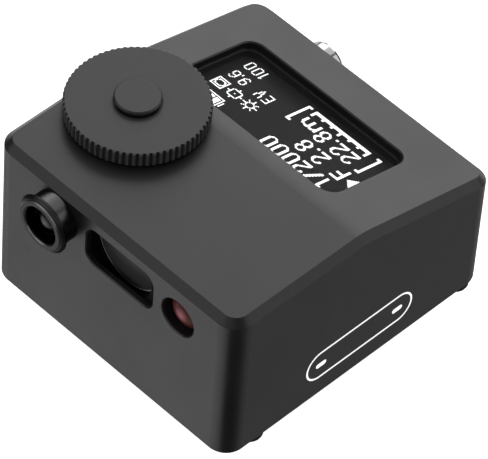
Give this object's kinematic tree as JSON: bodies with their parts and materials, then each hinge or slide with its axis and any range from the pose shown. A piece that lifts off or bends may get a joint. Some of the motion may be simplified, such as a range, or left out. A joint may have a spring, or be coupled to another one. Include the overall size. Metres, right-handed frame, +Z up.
{
  "type": "shoe-mount light meter",
  "caption": "Small black electronic light meter with a front sensor, rangefinder window, knurled dial, sloping display, buttons and an accessory-shoe foot.",
  "frame": {"origin": "centre of the underside of the accessory-shoe foot", "axes": "+Z up, +Y from the front face with the lenses towards the rear face the user sees, +X towards the side with the printed outline (the viewer's right when looking at the front face)"},
  "size_m": [0.0375, 0.0445, 0.0284],
  "materials": {
    "housing": "fine matte black coating",
    "base_cover": "matte black coating",
    "black_steel": "black oxide",
    "rubber": "matte",
    "foot_metal": "hard black coating, satin",
    "clear_glass": "clear, polished",
    "gasket": "black foam and tape",
    "oled_black": "dark display glass, unlit",
    "circuit_board": "green solder mask",
    "black_plastic": "moulded, matte",
    "coated_glass": "coated lens",
    "bright_metal": "nickel plated",
    "red_glass": "deep red filter glass",
    "barrel_metal": "satin black, turned",
    "ring_metal": "satin black, turned",
    "spacer_brass": "turned",
    "chip_black": "moulded package",
    "battery_wrap": "silver foil pouch",
    "encoder_case": "moulded",
    "dial_metal": "matte black, fine knurl",
    "button_metal": "matte black",
    "switch_plastic": "moulded",
    "polished_metal": "polished",
    "sleeve_metal": "satin black, turned",
    "print_white": "white printed ink",
    "pixel_white": "lit display dots"
  },
  "bodies": {
    "housing": {"main_housing": "housing", "base_plate": "base_cover", "base_screws": "black_steel", "rubber_feet": "rubber", "shoe_foot": "foot_metal", "shoe_foot_screws": "black_steel", "display_window": "clear_glass", "display_gasket": "gasket", "oled_glass": "oled_black", "oled_board": "circuit_board", "rangefinder_frame": "black_plastic", "receiver_lens": "coated_glass", "receiver_diode": "bright_metal", "receiver_board": "circuit_board", "laser_lens": "red_glass", "laser_diode": "bright_metal", "sensor_barrel": "barrel_metal", "barrel_ring": "ring_metal", "sensor_lens": "coated_glass", "light_sensor": "circuit_board", "barrel_nut": "barrel_metal", "main_board": "circuit_board", "board_spacers": "spacer_brass", "processor_chip": "chip_black", "battery": "battery_wrap", "usb_port": "bright_metal", "encoder_body": "encoder_case", "encoder_bushing": "bright_metal", "dial_nut": "bright_metal", "dial_switch": "switch_plastic", "rear_button_sleeve": "sleeve_metal", "rear_switch": "switch_plastic"},
    "dial": {"dial_wheel": "dial_metal", "encoder_shaft": "bright_metal"},
    "dial_button": {"dial_button": "button_metal"},
    "rear_button": {"rear_button": "polished_metal"}
  },
  "joints": [
    {"name": "dial_spin", "type": "hinge", "parent": "housing", "child": "dial", "pos_m": [-0.01084, -0.00627, 0.02775], "axis": [0, 0, 1], "continuous": true},
    {"name": "dial_button_press", "type": "slide", "parent": "dial", "child": "dial_button", "axis": [0, 0, -1], "range_m": [0, 0.0005], "stiffness_N_per_m": 1500},
    {"name": "rear_button_press", "type": "slide", "parent": "housing", "child": "rear_button", "axis": [0, -1, 0], "range_m": [0, 0.0008], "stiffness_N_per_m": 1500}
  ]
}
